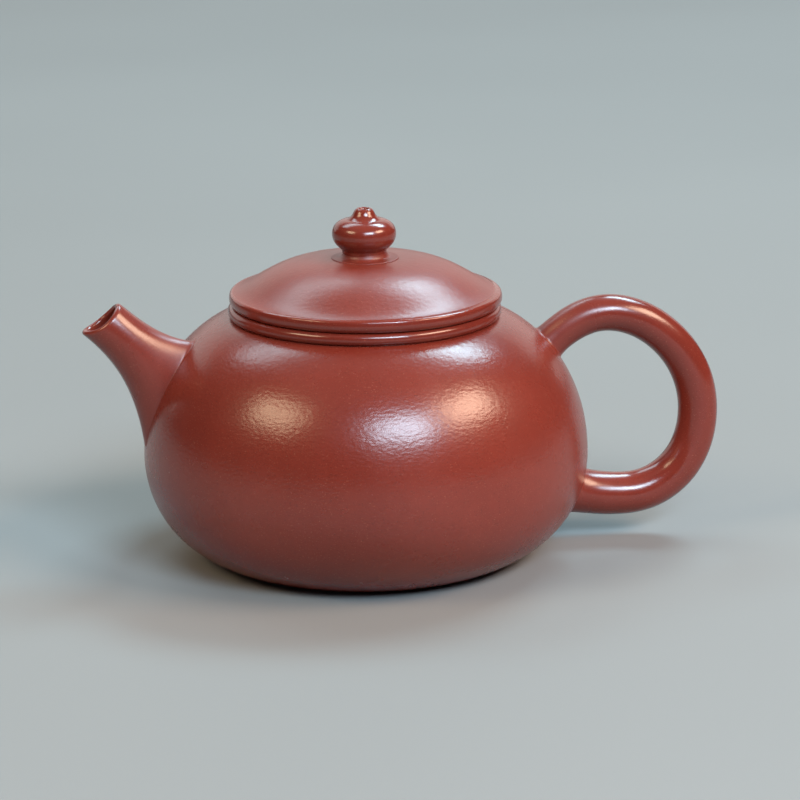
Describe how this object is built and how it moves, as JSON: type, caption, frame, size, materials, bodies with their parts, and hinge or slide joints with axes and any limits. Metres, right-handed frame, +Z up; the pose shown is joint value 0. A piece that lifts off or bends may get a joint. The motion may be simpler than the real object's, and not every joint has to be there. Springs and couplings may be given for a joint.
{
  "type": "teapot",
  "caption": "Squat round unglazed clay teapot with a curved spout, a ring handle and a lift-off domed lid with a ball knob, vented through the knob.",
  "frame": {"origin": "centre of the standing ring under the base, where the pot's axis meets the table", "axes": "+Z up the pot's axis towards the knob, +X towards the handle, -X towards the spout"},
  "size_m": [0.1411, 0.0974, 0.0768],
  "materials": {
    "burnished_clay": "unglazed red-brown stoneware, burnished to a satin skin",
    "polished_clay": "the same unglazed stoneware, handled and burnished to a slightly higher gloss",
    "plain_clay": "the same unglazed stoneware, scraped but not burnished, matt"
  },
  "bodies": {
    "pot": {"belly_wall": "burnished_clay", "base_disc": "burnished_clay", "shoulder_disc": "plain_clay", "neck_ring": "polished_clay", "spout": "polished_clay", "spout_strainer": "plain_clay", "handle": "polished_clay"},
    "lid": {"lid_dome": "burnished_clay", "lid_plate": "polished_clay", "lid_flange": "plain_clay", "knob_collar": "polished_clay", "knob": "polished_clay"}
  },
  "joints": [
    {"name": "lid_lift", "type": "slide", "parent": "pot", "child": "lid", "axis": [0, 0, 1], "range_m": [0, 0.06]}
  ]
}
